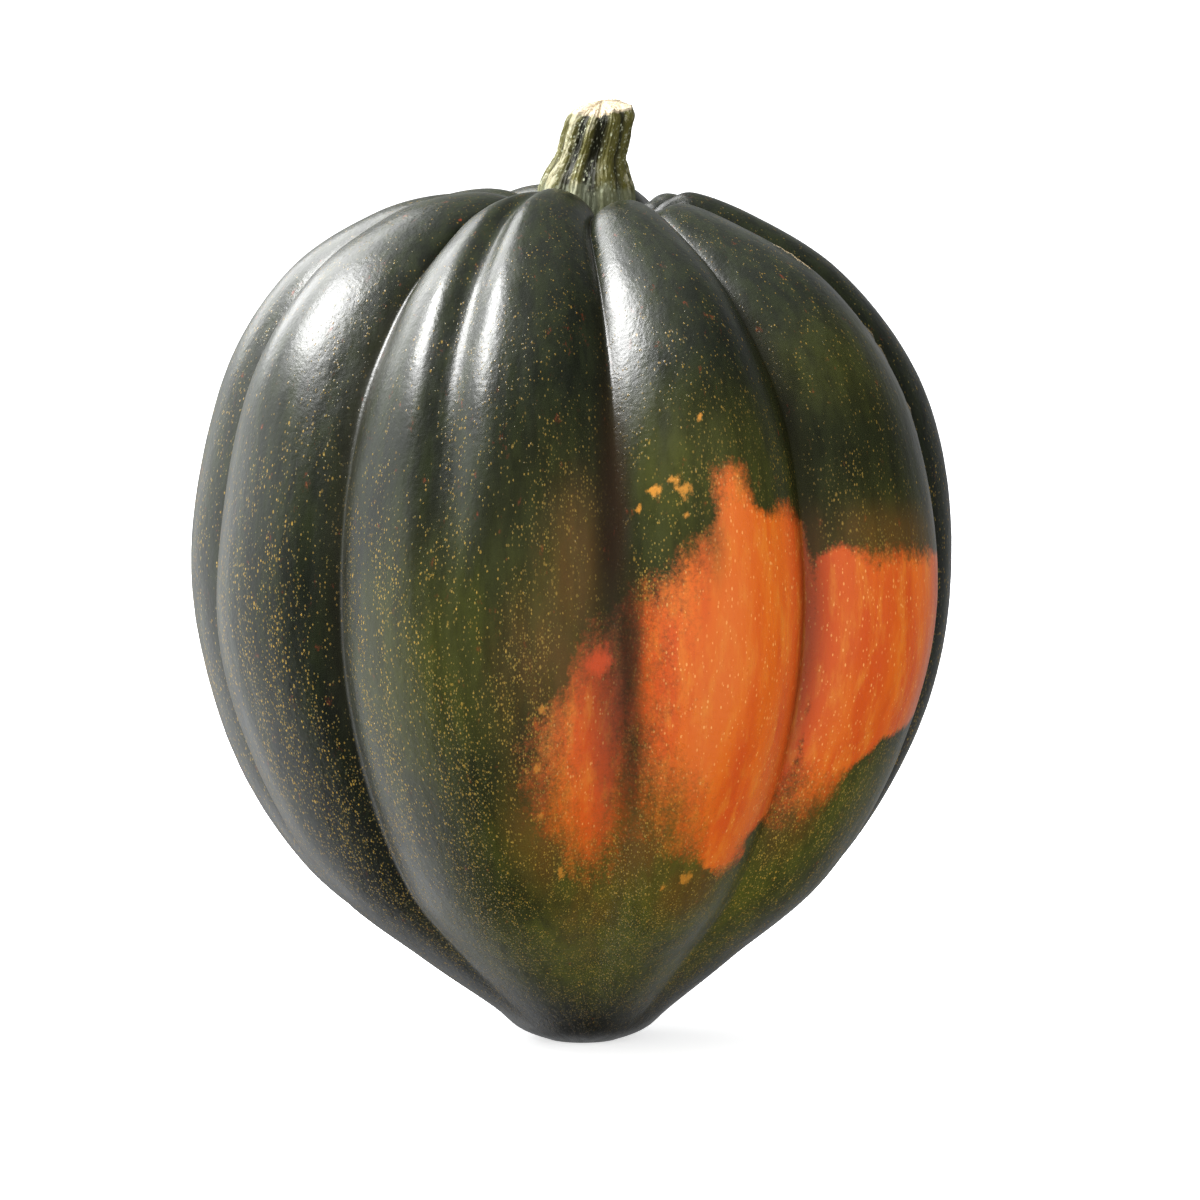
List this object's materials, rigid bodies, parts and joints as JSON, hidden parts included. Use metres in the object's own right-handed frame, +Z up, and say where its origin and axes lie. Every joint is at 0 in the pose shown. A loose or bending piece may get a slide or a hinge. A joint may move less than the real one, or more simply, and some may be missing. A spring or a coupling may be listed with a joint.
{
  "type": "acorn squash",
  "caption": "Deeply ribbed dark green winter squash with orange ground patches, standing on its flat blossom end, with a short dry stub of its stem in the hollow on top.",
  "frame": {"origin": "centre of the flat foot at the blossom end, on the surface that the fruit stands on", "axes": "+Z up from the blossom end to the stem, -Y to the front with the widest rib, +X to the right of the front"},
  "size_m": [0.1258, 0.12, 0.1549],
  "materials": {
    "skin": "waxy rind",
    "stem": "dry fibrous stalk"
  },
  "bodies": {
    "root": {"fruit": "skin", "stem": "stem"}
  },
  "joints": []
}
